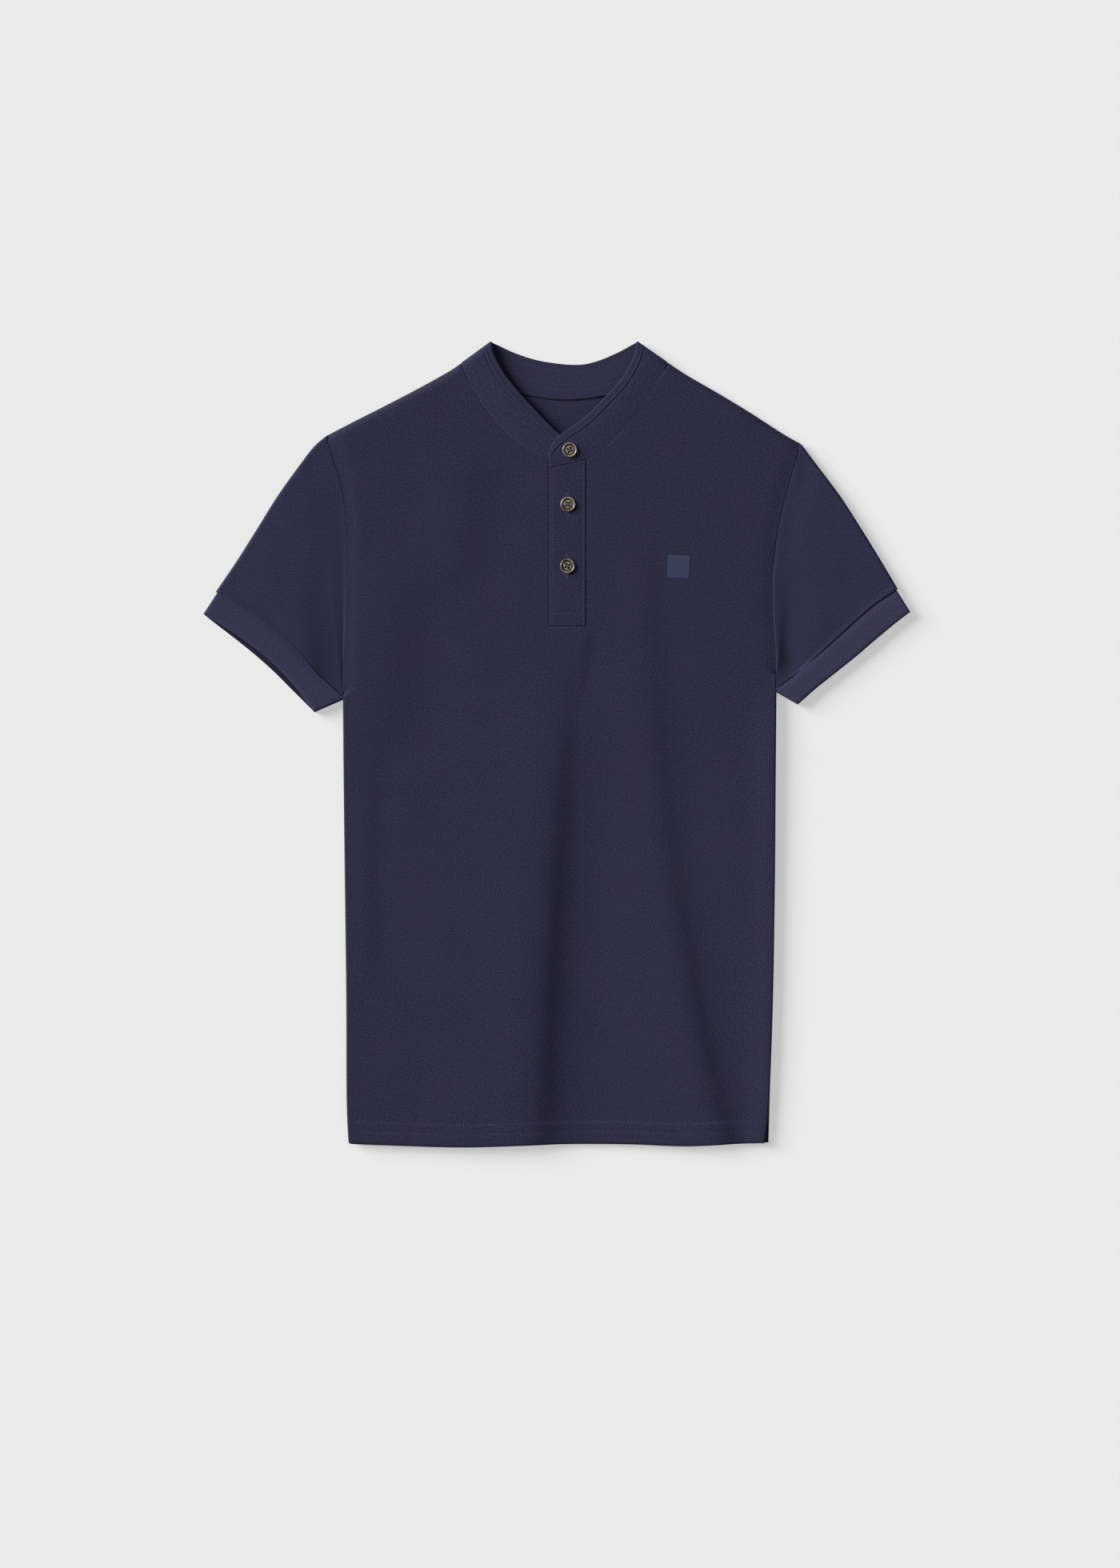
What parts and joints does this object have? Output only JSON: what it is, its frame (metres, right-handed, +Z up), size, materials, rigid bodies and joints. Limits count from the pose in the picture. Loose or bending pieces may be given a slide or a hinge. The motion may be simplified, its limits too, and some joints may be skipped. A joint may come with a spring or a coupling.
{
  "type": "polo shirt",
  "caption": "Short-sleeved polo shirt with band collar, half-opened buttoned placket and ribbed cuffs, laid out flat.",
  "frame": {"origin": "centre of the bounding box, at the level of the surface the shirt lies on", "axes": "+X across the shirt to the picture's right, +Y from the hem to the collar, +Z up from the surface"},
  "size_m": [0.593, 0.6758, 0.0141],
  "materials": {
    "navy_pique": "matt navy pique knit",
    "navy_rib": "matt navy fine rib knit",
    "navy_band": "matt navy knit of the collar band",
    "horn": "satin horn-coloured resin"
  },
  "bodies": {
    "root": {"front_panel": "navy_pique", "back_panel": "navy_pique", "sleeve_left": "navy_pique", "sleeve_right": "navy_pique", "cuff_left": "navy_rib", "cuff_right": "navy_rib", "collar_band": "navy_band", "placket_top": "navy_pique", "placket_under": "navy_pique", "button_1": "horn", "button_2": "horn", "button_3": "horn"}
  },
  "joints": []
}
